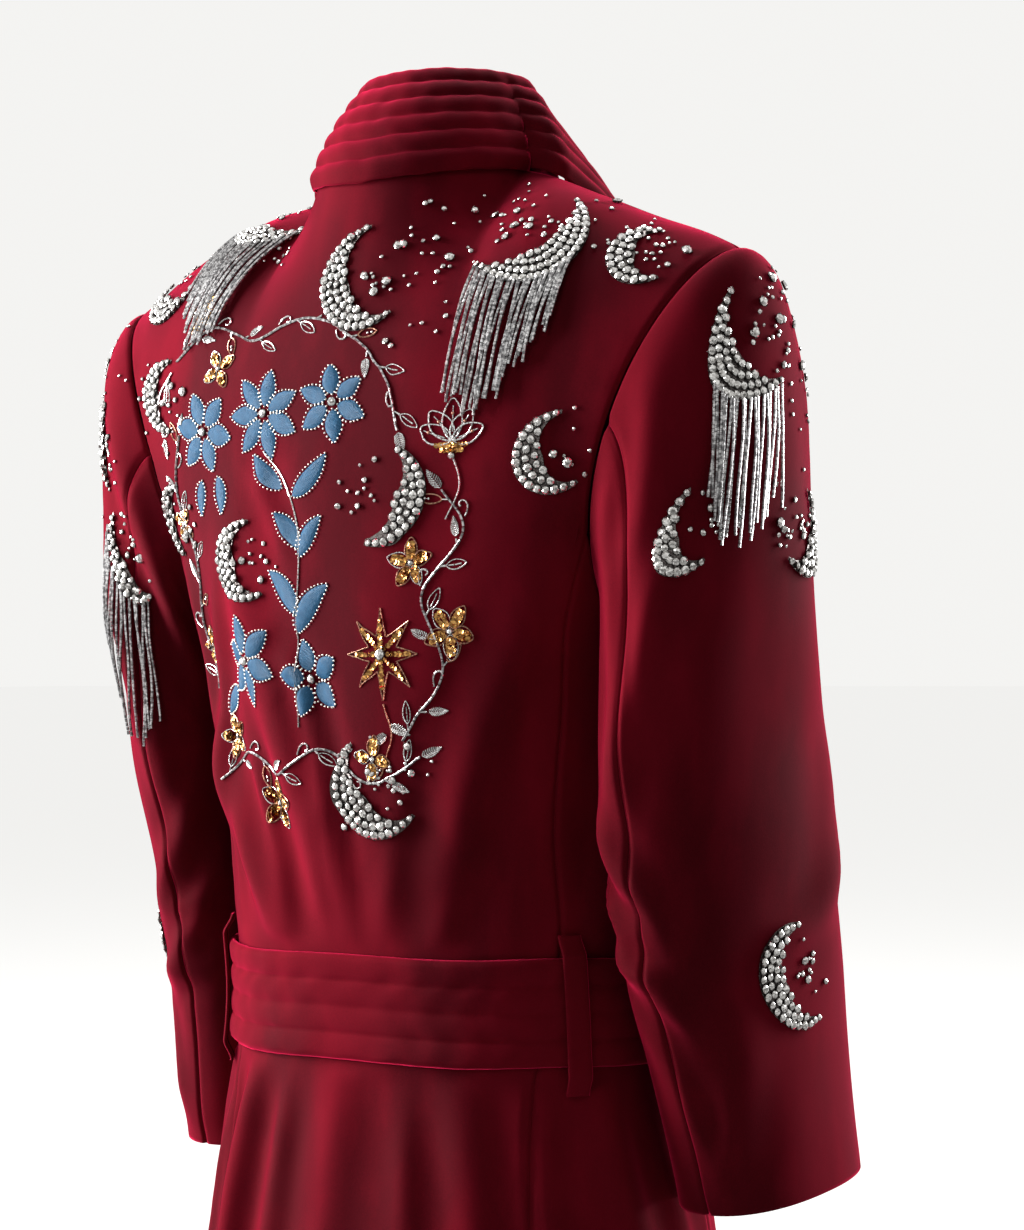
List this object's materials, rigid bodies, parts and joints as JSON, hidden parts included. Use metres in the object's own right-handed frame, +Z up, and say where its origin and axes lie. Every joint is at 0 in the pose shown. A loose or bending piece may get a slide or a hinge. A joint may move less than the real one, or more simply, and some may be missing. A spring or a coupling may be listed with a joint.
{
  "type": "velvet jacket",
  "caption": "Belted velvet jacket in its worn, hollow form: wide set-in sleeves, quilted shawl collar and belt, crystal crescents with bead fringe",
  "frame": {"origin": "midway between the two points where shoulder seam meets neck seam, as the garment hangs from the shoulders of its wearer", "axes": "+Z up along the body, -Y the front, +X the wearer's left"},
  "size_m": [0.5574, 0.2763, 0.8767],
  "materials": {
    "velvet": "deep red silk velvet with a bright nap where it turns away",
    "quilted_velvet": "the same velvet padded and stitched in rows",
    "stones": "clear cut crystals in dark settings, with silver beads"
  },
  "bodies": {
    "root": {"back": "velvet", "front_left": "velvet", "side_left": "velvet", "sleeve_upper_left": "velvet", "sleeve_under_left": "velvet", "front_right": "velvet", "side_right": "velvet", "sleeve_upper_right": "velvet", "sleeve_under_right": "velvet", "belt": "quilted_velvet", "belt_loop_left": "velvet", "belt_loop_right": "velvet", "collar": "quilted_velvet", "collar_stand": "velvet", "crescent_shoulder_right": "stones", "crescent_shoulder_left": "stones", "crescent_arm_right": "stones", "crescent_arm_left": "stones", "crescent_nape": "stones", "crescent_yoke_right": "stones", "crescent_blade_right": "stones", "crescent_elbow_right": "stones", "crescent_outer_right": "stones", "crescent_cuff_right": "stones", "crescent_middle": "stones", "crescent_side_left": "stones", "crescent_waist_back": "stones", "crescent_blade_left": "stones", "crescent_yoke_left": "stones", "crescent_armhole_left": "stones", "crescent_upper_left": "stones", "crescent_cuff_left": "stones", "crescent_chest_left": "stones", "crescent_chest_right": "stones"}
  },
  "joints": []
}
